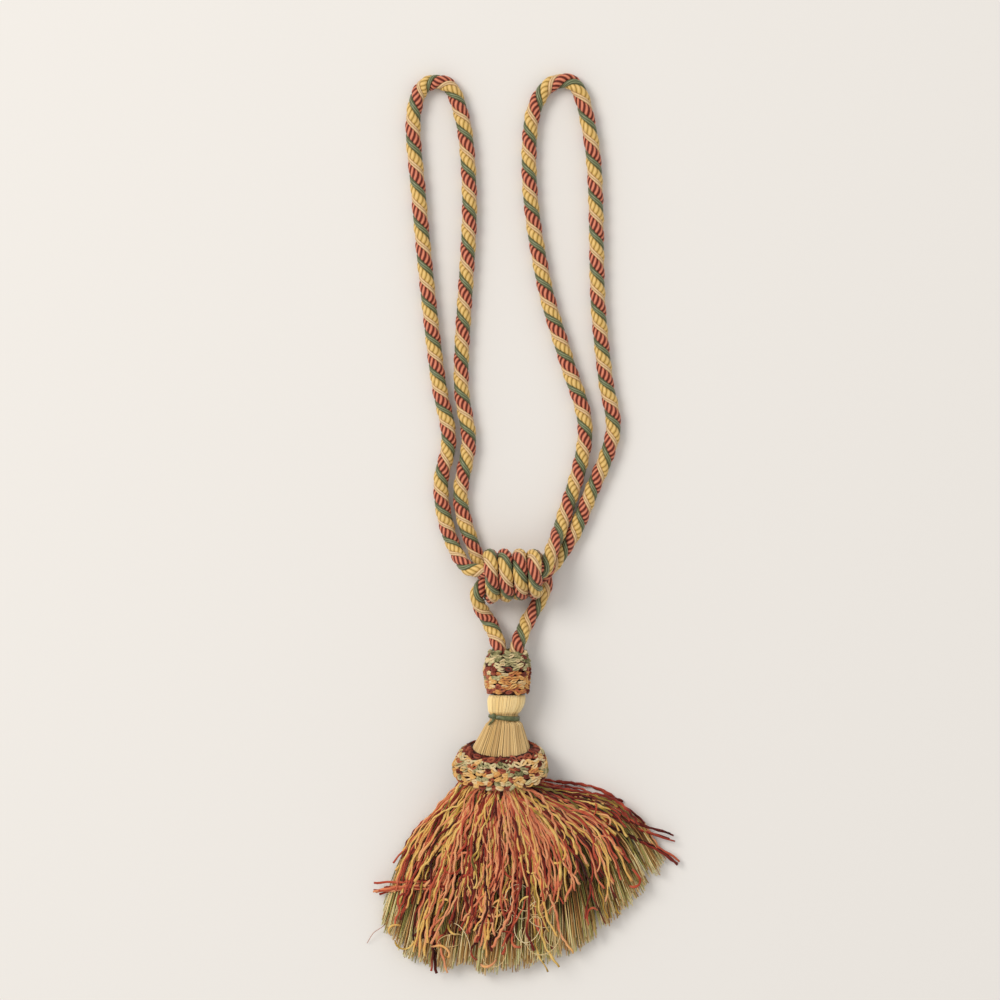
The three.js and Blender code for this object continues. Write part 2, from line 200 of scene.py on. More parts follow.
def winding(turn):
    """A place on the coil, after this many turns."""
    wrap = math.floor(turn)
    angle = (turn - wrap) * TAU
    slant = COIL["slant"] + wrap * COIL["slant_step"]
    behind = max(angle / math.pi - 1, 0) * (COIL["pitch"] + 2 * slant + COIL["slant_step"])
    x = COIL["x"][1] - wrap * COIL["pitch"] - slant * math.cos(min(angle, math.pi)) - behind
    y, z, tilt = coil_at(x)
    off = angle - tilt
    stretch = math.hypot(COIL["short"] * math.cos(off), COIL["long"] * math.sin(off))
    radius = COIL["long"] * COIL["short"] / stretch
    return x, y + radius * math.cos(angle), z + radius * math.sin(angle)


def through_coil(x, side):
    """A place on one of the two strands inside the coil."""
    y, z, tilt = coil_at(x)
    offset = side * COIL["strand"]
    return x, y + offset * math.cos(tilt), z + offset * math.sin(tilt)


def rope_line():
    """The rope's centre line in the row frame, in millimetres, and its length."""
    last = int(COIL["turns"] * COIL["points"])
    wound = [winding(i / COIL["points"]) for i in range(last + 1)]
    upper = [through_coil(x, 1) for x in COIL["through"]]
    lower = [through_coil(x, -1) for x in reversed(COIL["through"])]
    route = RISE_FROM_HEAD + wound + LEFT_LOOP + upper + RIGHT_LOOP + lower + DROP_TO_HEAD
    line = spline([route], SPAN_POINTS)
    even, length = along(line, np.linspace(0, 1, ROPE_STEPS + 1)[None])
    return even[0] + WAIST, length[0]


def carried_frames(line):
    """Two directions across the line at each point, carried along it without twisting."""
    tangents = unit(np.gradient(line, axis=0))
    normal = unit(np.cross(tangents[0], (0, 0, 1.0)))
    normals = np.empty_like(line)
    for i, tangent in enumerate(tangents):
        normal = normal - tangent * (normal @ tangent)
        normal = normal / math.sqrt(normal @ normal)
        normals[i] = normal
    return normals, np.cross(tangents, normals)


ROPE, ROPE_LENGTH = rope_line()
NORMALS, BINORMALS = carried_frames(ROPE)
# How far along the rope each of its points is.
RUN = np.linspace(0, ROPE_LENGTH, len(ROPE))


# ---------------------------------------------------------------- meshes


def mesh_of(bm, name):
    """A new mesh with what the bmesh holds. The bmesh is freed."""
    made = bpy.data.meshes.new(name)
    bm.to_mesh(made)
    bm.free()
    return made


def tubes(count, rings, sides):
    """Closed tubes made by operators. Returns their mesh, and each point's tube, ring and side."""
    bm = bmesh.new()
    bmesh.ops.create_cone(bm, cap_ends=True, segments=sides, radius1=1, radius2=1, depth=rings - 1)
    upright = [e for e in bm.edges if abs(e.verts[0].co.z - e.verts[1].co.z) > 0.5]
    if rings > 2:
        bmesh.ops.subdivide_edges(bm, edges=upright, cuts=rings - 2, use_grid_fill=True)
    bmesh.ops.translate(bm, verts=bm.verts, vec=(0, 0, (rings - 1) / 2))
    mesh = mesh_of(bm, "tube")
    spacing = 4
    if count > 1:
        single = placed("tube", mesh)
        array = single.modifiers.new("copies", "ARRAY")
        array.count = count
        array.use_relative_offset = False
        array.use_constant_offset = True
        array.constant_offset_displace = (spacing, 0, 0)
        evaluated = single.evaluated_get(bpy.context.evaluated_depsgraph_get())
        mesh = bpy.data.meshes.new_from_object(evaluated)
        bpy.data.objects.remove(single)
    at = np.empty(len(mesh.vertices) * 3, np.float32)
    mesh.vertices.foreach_get("co", at)
    at = at.reshape(-1, 3).astype(float)
    tube = np.rint(at[:, 0] / spacing).astype(int)
    ring = np.rint(at[:, 2]).astype(int)
    turn = np.arctan2(at[:, 1], at[:, 0] - tube * spacing) / TAU
    side = np.rint(turn * sides).astype(int) % sides
    return mesh, tube, ring, side


def shaped(mesh, places, **attributes):
    """Moves a mesh's points to places in millimetres, and gives it its attributes."""
    mesh.vertices.foreach_set("co", (places * MM).astype(np.float32).ravel())
    for name, values in attributes.items():
        layer = mesh.attributes.new(name, "FLOAT", "POINT")
        layer.data.foreach_set("value", np.asarray(values, np.float32).ravel())
    return mesh


def piece(name, meshes, materials, cad_node):
    """Joins meshes into one piece, each with its material. It replaces a CAD node, if that isn't None."""
    kinds = list(dict.fromkeys(materials))
    bm = bmesh.new()
    for mesh, material in zip(meshes, materials):
        mesh.polygons.foreach_set("material_index", [kinds.index(material)] * len(mesh.polygons))
        bm.from_mesh(mesh)
    bmesh.ops.recalc_face_normals(bm, faces=bm.faces)
    joined = mesh_of(bm, name)
    joined.shade_smooth()
    for material in kinds:
        joined.materials.append(material)
    made = placed(name, joined)
    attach(made, "root")
    if cad_node:
        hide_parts(cad_node)
    return made


# ---------------------------------------------------------------- materials


def linear(colour):
    """An sRGB hex colour as linear red, green, blue and alpha."""
    parts = [int(colour[i:i + 2], 16) / 255 for i in (1, 3, 5)]
    return tuple(p / 12.92 if p <= 0.04045 else ((p + 0.055) / 1.055) ** 2.4 for p in parts) + (1.0,)


def node(tree, kind, inputs=None, **settings):
    """Adds a node with its settings. inputs gives each socket a value or another node's output."""
    made = tree.nodes.new(kind)
    for name, value in settings.items():
        setattr(made, name, value)
    for socket, value in (inputs or {}).items():
        if isinstance(value, bpy.types.NodeSocket):
            tree.links.new(value, made.inputs[socket])
        else:
            made.inputs[socket].default_value = value
    return made


def ramp(tree, factor, stops):
    """A colour ramp with (place, hex colour) stops."""
    made = node(tree, "ShaderNodeValToRGB", {"Fac": factor})
    elements = made.color_ramp.elements
    while len(elements) > 1:
        elements.remove(elements[-1])
    for i, (place, colour) in enumerate(stops):
        element = elements[0] if i == 0 else elements.new(place)
        element.position = place
        element.color = linear(colour)
    return made.outputs["Color"]


def maths(tree, operation, first, second=0.0, third=0.0):
    return node(tree, "ShaderNodeMath", {0: first, 1: second, 2: third}, operation=operation).outputs[0]


def attribute(tree, name):
    return node(tree, "ShaderNodeAttribute", attribute_name=name, attribute_type="GEOMETRY").outputs["Fac"]


def noise(tree, scale_mm, detail=2.0):
    """Noise on Object coordinates whose grain is about scale_mm."""
    at = node(tree, "ShaderNodeTexCoord").outputs["Object"]
    settings = {"Vector": at, "Scale": 1 / (scale_mm * MM), "Detail": detail}
    return node(tree, "ShaderNodeTexNoise", settings).outputs["Fac"]


def yarn(name, colour_of, roughness, sheen, grain_mm, bump_mm=0.15, specular=0.3):
    """A yarn's material. colour_of is given the node tree and returns a socket. grain_mm is for its bump."""
    material = bpy.data.materials.new(name)
    material.use_nodes = True
    tree = material.node_tree
    shader = tree.nodes["Principled BSDF"]
    tree.links.new(colour_of(tree), shader.inputs["Base Color"])
    shader.inputs["Roughness"].default_value = roughness
    shader.inputs["Specular IOR Level"].default_value = specular
    shader.inputs["Sheen Weight"].default_value = sheen
    shader.inputs["Sheen Roughness"].default_value = 0.5
    settings = {"Height": noise(tree, grain_mm, detail=3.0), "Strength": 1, "Distance": bump_mm * MM}
    bump = node(tree, "ShaderNodeBump", settings)
    tree.links.new(bump.outputs["Normal"], shader.inputs["Normal"])
    return material


def shaded(tree, colour, factor, darkest):
    """A colour multiplied by a grey from darkest, where the factor is 0, to white."""
    grey = node(tree, "ShaderNodeMapRange", {"Value": factor, "To Min": darkest, "To Max": 1.0}).outputs[0]
    # Sockets 0, 6 and 7 are the factor and the two colours.
    inputs = {0: 1.0, 6: colour, 7: grey}
    return node(tree, "ShaderNodeMix", inputs, data_type="RGBA", blend_type="MULTIPLY").outputs[2]


# Fat plies are gimp: yarn wound round a core, so that each wind is a rib and the core shows between ribs. The
# colour across a rib is painted relief: the crest lighter, painted shade on its flanks and painted shade
# deepening the grooves.
def ribbed(crest, shaded_flank, shaded_groove, width):
    def colour(tree):
        phase = maths(tree, "FRACT", attribute(tree, "rib"))
        from_crest = maths(tree, "ABSOLUTE", maths(tree, "SUBTRACT", phase, 0.5))
        from_groove = maths(tree, "ADD", maths(tree, "MULTIPLY", from_crest, -2), 1.0)
        grain = maths(tree, "MULTIPLY_ADD", noise(tree, 0.6), 0.25, -0.12)
        factor = maths(tree, "ADD", from_groove, grain)
        return ramp(tree, factor, [(0.0, shaded_groove), (width, shaded_groove), (width + 0.2, shaded_flank), (0.9, crest)])
    return colour


# Narrow plies are a few threads side by side. Their colour across them is painted light: lighter crowns and
# painted highlights on the threads, painted shade between them and at the edges, and faint painted shade at
# each twist.
def threaded(stops, darkest):
    def colour(tree):
        across = ramp(tree, maths(tree, "ABSOLUTE", attribute(tree, "across")), stops)
        phase = maths(tree, "FRACT", attribute(tree, "rib"))
        return shaded(tree, across, maths(tree, "PINGPONG", phase, 0.5), darkest)
    return colour


# Loose yarns take their colour from each point's place on a range of dyes. Some of those places are painted
# shade: the dark cores, the bundle below the tie and the deep chenille. A pile is mottled as well.
def dyed(stops, mottle_mm=None, darkest=1.0):
    def colour(tree):
        dye = ramp(tree, attribute(tree, "dye"), stops)
        return shaded(tree, dye, noise(tree, mottle_mm), darkest) if mottle_mm else dye
    return colour


def satin(tree):
    """Broad streaks and a fine grain in two greens."""
    streaks = ramp(tree, noise(tree, 2.5), [(0.3, "#3f4620"), (0.7, "#6c7044")])
    return shaded(tree, streaks, noise(tree, 0.4), 0.8)


ROPE_MATERIALS = {
    # Two-tone viscose gimp: a matt coral wind with the dark core of the ply showing between its ribs,
    # darkened further with painted shade, and painted shade on the ribs' flanks.
    "coral": yarn(
        "coral_viscose_gimp",
        ribbed(crest="#db8868", shaded_flank="#b45a3e", shaded_groove="#591a08", width=0.32),
        roughness=0.62, sheen=0.1, grain_mm=0.5),
    # Gold viscose gimp: plump glossy ribs, with painted shade in ochre on their flanks and between them.
    "gold": yarn(
        "gold_viscose_gimp",
        ribbed(crest="#e6c078", shaded_flank="#caa252", shaded_groove="#8f6e2c", width=0.08),
        roughness=0.5, sheen=0.1, grain_mm=0.5),
    # Satin gimp: smooth green silk-like threads laid side by side. Its shine along its length is painted:
    # stripes of painted highlight on the threads, with painted shade between them and at its edges.
    "green": yarn(
        "green_satin_gimp",
        threaded([(0.0, "#4b4f2f"), (0.14, "#5c613e"), (0.32, "#98a072"), (0.5, "#626745"), (0.64, "#434829"),
                  (0.8, "#757a51"), (1.0, "#2e311a")], darkest=0.85),
        roughness=0.42, sheen=0.1, grain_mm=0.7, bump_mm=0.08, specular=0.4),
    # Cream cotton: two soft twisted yarns side by side, with painted shade in the dip between them and at its
    # edges.
    "cream": yarn(
        "cream_cotton_cord",
        threaded([(0.0, "#a8804f"), (0.16, "#dcb684"), (0.5, "#f3d2a0"), (0.8, "#dcb27c"),
                  (1.0, "#96703f")], darkest=0.8),
        roughness=0.75, sheen=0.08, grain_mm=0.5),
}
# Space-dyed chenille, from maroon through coral and gold to olive: a short velvety pile round a core, so it
# is matt with a soft light edge.
CHENILLE = yarn(
    "space_dyed_chenille",
    dyed([(0.0, "#3c0d04"), (0.14, "#84281a"), (0.28, "#c65238"), (0.42, "#ee8c60"), (0.55, "#fcb47e"),
          (0.66, "#f6be64"), (0.8, "#fdd47c"), (0.9, "#cda244"), (1.0, "#7d6c2c")],
         mottle_mm=0.9, darkest=0.64),
    roughness=0.9, sheen=0.12, grain_mm=0.6, bump_mm=0.3, specular=0.15)
# The ruffs are such chenille, knotted, from dark brown through coral, gold and cream to olive.
RUFF = yarn(
    "knotted_chenille",
    dyed([(0.0, "#2c1002"), (0.14, "#8a3c2c"), (0.28, "#c46a4c"), (0.42, "#e89e58"), (0.56, "#fcc878"),
          (0.7, "#ffe2b0"), (0.82, "#e2d29c"), (0.92, "#b0a674"), (1.0, "#6a683e")],
         mottle_mm=0.9, darkest=0.5),
    roughness=0.88, sheen=0.12, grain_mm=0.6, bump_mm=0.3, specular=0.15)
# Cut viscose fringe, from dark brown to cream and on to dark olive: fine twisted threads with a silky shine.
FRINGE = yarn(
    "cut_viscose_fringe",
    dyed([(0.0, "#3d1c03"), (0.12, "#744219"), (0.25, "#a87536"), (0.38, "#dfb068"), (0.48, "#fde2a8"),
          (0.54, "#f9f3b8"), (0.64, "#c6bc6c"), (0.8, "#8c833c"), (1.0, "#474010")]),
    roughness=0.5, sheen=0.05, grain_mm=0.5, bump_mm=0.08)
# Straight viscose yarn: cream above the tie, and khaki below it, darkened with painted shade.
BUNDLE = yarn(
    "straight_viscose_yarn",
    dyed([(0.0, "#6b4c1e"), (0.2, "#a8854c"), (0.42, "#caa86e"), (0.6, "#e6c68c"), (0.8, "#fbdb98"),
          (1.0, "#ffe8b0")]),
    roughness=0.45, sheen=0.05, grain_mm=0.5, bump_mm=0.08, specular=0.4)
TIE = yarn("green_satin_ribbon", satin, roughness=0.35, sheen=0.1, grain_mm=0.4, bump_mm=0.08, specular=0.5)
# Fine mercerised cotton sewing thread that has worked loose.
THREAD = yarn(
    "loose_cotton_thread",
    dyed([(0.0, "#b98a78"), (0.5, "#dcbb7c"), (1.0, "#f0dcae")]),
    roughness=0.5, sheen=0.2, grain_mm=0.4, bump_mm=0.05, specular=0.4)


# ---------------------------------------------------------------- rope

# Where along the rope each of two plies faces up, in millimetres from its start.
FACING = {
    "coral": (
        7, 35, 119.4, 497.2, 550.2, 605.2, 716.2, 830.2, 857.2, 878.2, 907.4, 968.4, 1027.4, 1107.4,
        1184.4, 1235.2, 1358.4, 1411.4, 1495.4, 1581.4, 1665.4, 1694.2, 1726.2, 1759.2, 1844.4, 1927.4,
        2008.4, 2059.1, 2169.6, 2197.6,
    ),
    "gold": (226, 317, 409),
}
# The length of rope in which its plies make a turn.
PITCH = 28
# The ribs lean against the lay of the plies: by this much across for each unit along. They are also bowed.
RIB_LEAN = 0.47
RIB_BOW = 0.12
# Twists of the narrow plies' threads in a turn of the rope.
THREAD_TWISTS = 18
# The plies: where each lies round the rope in turns, the share of a turn it fills, how far it reaches at its
# crown and at its edges, how many ribs it has in a turn of the rope, and how deep the grooves between them
# are. In a ply with no ribs, that is the depth of the dip between its two yarns.
PLIES = {
    "coral": {"turn": 0.0, "share": 0.375, "crown": 6.0, "edge": 3.5, "ribs": 12, "relief": 0.5},
    "green": {"turn": -0.2775, "share": 0.215, "crown": 5.75, "edge": 3.7, "ribs": 0, "relief": 0.3},
    "gold": {"turn": -0.5225, "share": 0.32, "crown": 6.0, "edge": 3.5, "ribs": 12, "relief": 0.4},
    "cream": {"turn": -0.7475, "share": 0.175, "crown": 5.6, "edge": 3.8, "ribs": 0, "relief": 0.3},
}
# Places across a ply: from edge to edge over its crown, and back inside the rope, this far from its middle.
PLY_OUTER = np.array([-1, -0.82, -0.45, 0, 0.45, 0.82, 1])
PLY_INNER = np.array([0.5, -0.5])
PLY_DEPTH = 1.6
# How full a ply's section is. 2 would be an ellipse.
PLY_FULLNESS = 2.2
# Rings of points to a rib, and to a turn of the rope in a ply with no ribs.
RIB_RINGS = 4
PLAIN_RINGS = 16
# A rib is this much shallower at the ply's edges than at its crown.
RIB_FADE = 0.4


def facing_angle():
    """The angle of each rope point's upward direction, from its binormal towards its normal."""
    return np.arctan2(NORMALS[:, 2], BINORMALS[:, 2])


def rope_turns():
    """How many turns the coral ply has made at each point of the rope."""
    up = np.unwrap(facing_angle()) / TAU
    turns, places = [], []
    for place, ply in sorted((place, ply) for ply in FACING for place in FACING[ply]):
        wanted = np.interp(place, RUN, up) - PLIES[ply]["turn"]
        if turns:
            expected = turns[-1] + (place - places[-1]) / PITCH
            wanted += round(expected - wanted)
        turns.append(wanted)
        places.append(place)
    first = turns[0] - places[0] / PITCH
    last = turns[-1] + (ROPE_LENGTH - places[-1]) / PITCH
    return np.interp(RUN, [0, *places, ROPE_LENGTH], [first, *turns, last])


TURNS = rope_turns()


def ply_section(ply):
    """Places across a ply, and how far from the rope's middle it reaches at each."""
    reach = mix(ply["edge"], ply["crown"], np.sqrt(1 - np.abs(PLY_OUTER) ** PLY_FULLNESS))
    if not ply["ribs"]:
        reach = reach - ply["relief"] * (PLY_OUTER == 0)
    inside = np.full(len(PLY_INNER), PLY_DEPTH)
    return np.concatenate([PLY_OUTER, PLY_INNER]), np.concatenate([reach, inside])


def kept_in_knot(y):
    """The share of its radius that the rope keeps, this far above the waist tie."""
    into = smoothstep(y, SQUEEZE["foot"] - SQUEEZE["ease"], SQUEEZE["foot"])
    out_of = smoothstep(y, SQUEEZE["top"], SQUEEZE["top"] + SQUEEZE["ease"])
    return mix(1, SQUEEZE["keep"], into * (1 - out_of))


def on_rope(table, run):
    """What a table of vectors, one at each point of the rope, gives at places along it."""
    return np.stack([np.interp(run, RUN, table[:, k]) for k in range(3)], axis=1)


def ply_mesh(name):
    ply = PLIES[name]
    across, reach = ply_section(ply)
    total = TURNS[-1] - TURNS[0]
    rings = int(total * (ply["ribs"] * RIB_RINGS or PLAIN_RINGS))
    mesh, _, ring, side = tubes(1, rings, len(across))
    turn = TURNS[0] + ring / (rings - 1) * total
    beside = across[side]
    # A ribbed ply's rings lie along its ribs, so that each rib has its own points.
    lean, bow = (RIB_LEAN, RIB_BOW) if ply["ribs"] else (0, 0)
    half = ply["share"] / 2 / (1 + lean * PITCH / (TAU * ROPE_RADIUS))
    slide = -bow * beside ** 2
    angle = (turn + ply["turn"]) * TAU - lean * half * PITCH / ROPE_RADIUS * beside + slide
    run = np.interp(turn + half * beside + slide / TAU, TURNS, RUN)
    out = reach[side].copy()
    rib = turn * (ply["ribs"] or THREAD_TWISTS)
    if ply["ribs"]:
        phase = rib - np.floor(rib)
        scallop = np.sqrt(np.sin(np.pi * phase).clip(0, 1)) - 1
        out += ply["relief"] * scallop * (side < len(PLY_OUTER)) * (1 - RIB_FADE * beside ** 2)
    centre, normal, binormal = (on_rope(table, run) for table in (ROPE, NORMALS, BINORMALS))
    keep = kept_in_knot(centre[:, 1] - WAIST[1])
    centre[:, 2] = np.maximum(centre[:, 2], ROPE_RADIUS * keep)
    out = (out * keep)[:, None]
    places = centre + out * (np.sin(angle)[:, None] * normal + np.cos(angle)[:, None] * binormal)
    places[:, 2] = np.maximum(places[:, 2], 0)
    return shaped(mesh, places, rib=rib, across=beside)


def rope():
    made = piece("rope_plies", [ply_mesh(name) for name in PLIES], [ROPE_MATERIALS[name] for name in PLIES],
                 "rope")
    return made


rope()


# ---------------------------------------------------------------- tassel sections

# Below the waist tie the sections come to lean: what stands higher lies nearer the hem, by this much for each
# unit of height, from this far down.
LEAN = {"full": 0.5, "reached": 30}
# The sections' rows are: how far down from the tie, the middle's x and z, half the width and half the depth.
BUNDLE_ROWS = np.array([
    (-16.3, 2.4, 17.2, 13.4, 13.4), (-13, 1.8, 17, 14.4, 14), (-8, 1.4, 17, 13.7, 13.4),
    (-4.2, 0.4, 17, 12.3, 12.2), (-2.6, 0, 17, 10.6, 10.6), (2.6, 0, 17, 10.6, 10.6),
    (4.2, 0.2, 17.2, 13.3, 12.6), (13, -0.8, 18, 17, 14.6), (23, -2, 19.4, 21.4, 15.8),
    (34, -2.2, 20.2, 23, 16.3),
])
HEAD_ROWS = np.array([
    (-46, 2.8, 17, 13.6, 12.6), (-42, 2.6, 17.2, 16, 15.4), (-34, 2.3, 17.2, 16.6, 16.2),
    (-26, 2.4, 17.2, 16, 15.8), (-16.6, 2.8, 17.2, 14.2, 14),
])
COLLAR_ROWS = np.array([
    (22.5, -2, 19.8, 23.8, 17.6), (26.5, -2.2, 20.6, 30, 20.2), (32, -2.3, 21, 33, 21.3),
    (37.5, -2.6, 21, 34.4, 21.4), (42, -2.8, 21, 34, 20.8),
])
# The turn of a section's top.
TOP = 0.25
# How far under their surface the bundle's and the ruffs' cores lie.
CORE_DEPTH = 1.3


def on_tassel(rows, down, turn, stand_out=0.0, share=1.0):
    """Points of the tassel's oval sections in the row frame. turn is 0 on the right and TOP on top.

    They lie at a share of the section's size, and stand out from that.
    """
    down, turn, stand_out = np.broadcast_arrays(np.asarray(down, float), turn, stand_out)
    x, z, wide, deep = (np.interp(down, rows[:, 0], rows[:, k]) for k in range(1, 5))
    cos, sin = np.cos(turn * TAU), np.sin(turn * TAU)
    rise = (deep * share + stand_out) * sin
    lean = LEAN["full"] * np.clip(down / LEAN["reached"], 0, 1)
    places = np.stack([x + (wide * share + stand_out) * cos, -down - lean * rise, z + rise], axis=-1)
    return places + WAIST


def around(centre, beside, above, wide, high, sides, **attributes):
    """Closed strands round centre lines [strand, ring, xyz], with half sizes along two directions."""
    count, rings = centre.shape[:2]
    mesh, tube, ring, side = tubes(count, rings, sides)
    turn = (side / sides * TAU)[:, None]
    wide, high = (np.broadcast_to(size, (count, rings))[tube, ring][:, None] for size in (wide, high))
    places = centre[tube, ring] + beside[tube, ring] * wide * np.sin(turn)
    places += above[tube, ring] * high * np.cos(turn)
    places[:, 2] = np.maximum(places[:, 2], 0)
    given = {name: np.broadcast_to(values, (count, rings))[tube, ring] for name, values in attributes.items()}
    return shaped(mesh, places, **given)


def swept(centre, wide, high, sides, up=(0.0, 0.0, 1.0), **attributes):
    """Closed strands round centre lines, with half sizes beside and above them."""
    tangent = unit(np.gradient(centre, axis=1))
    beside = unit(np.cross(np.broadcast_to(up, tangent.shape), tangent))
    return around(centre, beside, np.cross(tangent, beside), wide, high, sides, **attributes)


def core(rows, past_top, short_of_foot, rings, sides):
    """The core under a tassel section's threads: its mesh, its points' places, and how far down they are."""
    down = np.linspace(rows[0, 0] + past_top, rows[-1, 0] - short_of_foot, rings)
    mesh, _, ring, side = tubes(1, rings, sides)
    return mesh, on_tassel(rows, down[ring], side / sides, -CORE_DEPTH), down[ring]


# ---------------------------------------------------------------- yarn bundle and tie

# A thread's half width as a share of the step to the next, and its half height as a share of its half width.
THREAD_FILL = 0.76
THREAD_FLATNESS = 0.9


def yarn_bundle():
    """Straight threads side by side over a core, pale above the waist tie and darker below it."""
    random = np.random.default_rng(11)
    count, rings, sides = 220, 22, 6
    down = np.linspace(BUNDLE_ROWS[0, 0], BUNDLE_ROWS[-1, 0], rings)
    turn = (np.arange(count)[:, None] + random.uniform(-0.3, 0.3, (count, 1))) / count
    drift = random.uniform(-0.6, 0.6, (count, 1)) / count * np.linspace(0, 1, rings)
    depth = random.uniform(-0.9, -0.2, (count, 1))
    centre = on_tassel(BUNDLE_ROWS, np.broadcast_to(down, (count, rings)), turn + drift, depth)
    wide = np.interp(down, BUNDLE_ROWS[:, 0], BUNDLE_ROWS[:, 3]) * TAU / count * THREAD_FILL
    above = down < -TIE_HALF
    # Below the tie the threads are khaki, darkened with painted shade.
    shade = np.where(above, 1.0, 0.55) + random.normal(0, 0.1, (count, 1)) * np.where(above, 0.6, 1)
    outward = unit(centre - on_tassel(BUNDLE_ROWS, down, TOP, share=0))
    beside = unit(np.cross(outward, unit(np.gradient(centre, axis=1))))
    threads = around(centre, beside, outward, wide, wide * THREAD_FLATNESS, sides, dye=shade)
    mesh, places, core_down = core(BUNDLE_ROWS, past_top=0.6, short_of_foot=0.6, rings=16, sides=40)
    # The core is painted dark below the tie: painted shade between the bell's threads.
    inner = shaped(mesh, places, dye=np.where(core_down < 0, 0.8, 0.1))
    return piece("yarn_threads", [inner, threads], [BUNDLE, BUNDLE], "yarn_bundle")


yarn_bundle()


# The tie's knot and its cut end: along each strand, how far down it is, its turn, how far it stands out and
# half its width.
TIE_KNOT = [
    [(-2.6, 0.362, 1.2, 1.0), (-1.2, 0.358, 1.7, 1.5), (0.2, 0.353, 1.7, 1.5), (1.4, 0.352, 1.1, 1.0)],
    [(-1.6, 0.385, 1.0, 0.8), (-0.9, 0.368, 2.0, 1.2), (-0.6, 0.352, 2.1, 1.2), (-0.8, 0.336, 1.0, 0.8)],
    [(0.2, 0.36, 1.7, 1.0), (2.2, 0.365, 1.9, 0.9), (4.0, 0.372, 2.3, 0.7), (5.2, 0.376, 2.6, 0.4)],
]
RIBBON = {"stand_out": 0.7, "half_thick": 0.5, "half_height": 1.8}
KNOT_FLATNESS = 0.6


def waist_tie():
    """A flat ribbon round the waist, a little aslant, with its knot left of the middle and a cut end."""
    turn = np.linspace(-0.25, 0.75, 72)
    down = 0.35 + 0.95 * np.cos(turn * TAU) + 0.2 * np.sin(turn * TAU)
    centre = on_tassel(BUNDLE_ROWS, down, turn, RIBBON["stand_out"])[None]
    height = RIBBON["half_height"] + 0.45 * np.cos((turn - 0.12) * TAU)
    meshes = [swept(centre, RIBBON["half_thick"], height, sides=10, up=(0, -1.0, 0))]
    for rows in TIE_KNOT:
        down, turn, stand_out, wide = np.transpose(rows)
        line = spline([on_tassel(BUNDLE_ROWS, down, turn, stand_out)], per_span=6)
        wide = np.interp(np.linspace(0, len(rows) - 1, line.shape[1]), np.arange(len(rows)), wide)
        meshes.append(swept(line, wide, wide * KNOT_FLATNESS, sides=8))
    return piece("tie_ribbon", meshes, [TIE] * len(meshes), "waist_tie")


waist_tie()


# ---------------------------------------------------------------- ruffs


# How far a stitch stands out at its middle, and how much lower its ends are.
STITCH_RAISED = 0.5
STITCH_SUNK = 1.7
# The cores are painted dark: painted shade between the stitches, where they show.
CORE_PAINTED_SHADE = 0.02


def stitches(rows, down, count, dyes, random):
    """A course of stitches, each a loop whose two sides bow apart and whose ends are sunk in the ruff."""
    wide, deep = (np.interp(down, rows[:, 0], rows[:, k]) for k in (3, 4))
    rings = 8
    at = np.linspace(-1, 1, rings)[None]
    bow = 1 - at ** 2
    turn = (np.arange(count)[:, None] + random.uniform(-0.35, 0.35, (count, 1))) / count
    half = random.uniform(2.3, 3.5, (count, 1))
    slope = random.uniform(-0.6, 0.6, (count, 1))
    middle = random.uniform(-0.5, 0.5, (count, 1))
    opening = random.triangular(0.6, 0.75, 1.3, (count, 1))
    sagging = random.uniform(-0.5, 0.9, (count, 1))
    raised = random.uniform(-0.1, 0.8, (count, 1))
    dye = random.choice(dyes, (count, 1))
    speed = TAU * np.hypot(wide * np.sin(turn * TAU), deep * np.cos(turn * TAU))
    meshes = []
    for side in (-1, 1):
        across = half * at * np.cos(slope) - side * opening * bow * np.sin(slope)
        downs = half * at * np.sin(slope) + side * opening * bow * np.cos(slope) + sagging * bow + middle
        turns = turn + across / speed
        unevenness = random.uniform(-0.25, 0.25, (count, 1))
        stand_out = raised + STITCH_RAISED - STITCH_SUNK * at ** 4 + unevenness
        centre = on_tassel(rows, down + downs, turns, stand_out)
        outward = unit(on_tassel(rows, down + downs, turns, stand_out + 1) - centre)
        fat = random.uniform(0.85, 1.15, (count, 1)) * (1 + random.uniform(-0.1, 0.1, (count, rings)))
        shade = dye + random.uniform(-0.09, 0.09, (count, 1)) + random.uniform(-0.05, 0.05, (count, rings))
        meshes.append(swept(centre, fat, fat * 0.95, sides=6, up=outward, dye=np.clip(shade, 0.03, 1)))
    return meshes


def ruff(name, node_name, rows, courses, seed):
    """A knotted ruff over a core painted dark, as painted shade between the stitches. courses gives how far
    down each course is, its stitches and dyes.
    """
    random = np.random.default_rng(seed)
    meshes = []
    for down, count, dyes in courses:
        meshes += stitches(rows, down, count, dyes, random)
    mesh, places, _ = core(rows, past_top=1, short_of_foot=0.3, rings=8, sides=48)
    meshes.append(shaped(mesh, places, dye=np.full(len(places), CORE_PAINTED_SHADE)))
    return piece(name, meshes, [RUFF] * len(meshes), node_name)


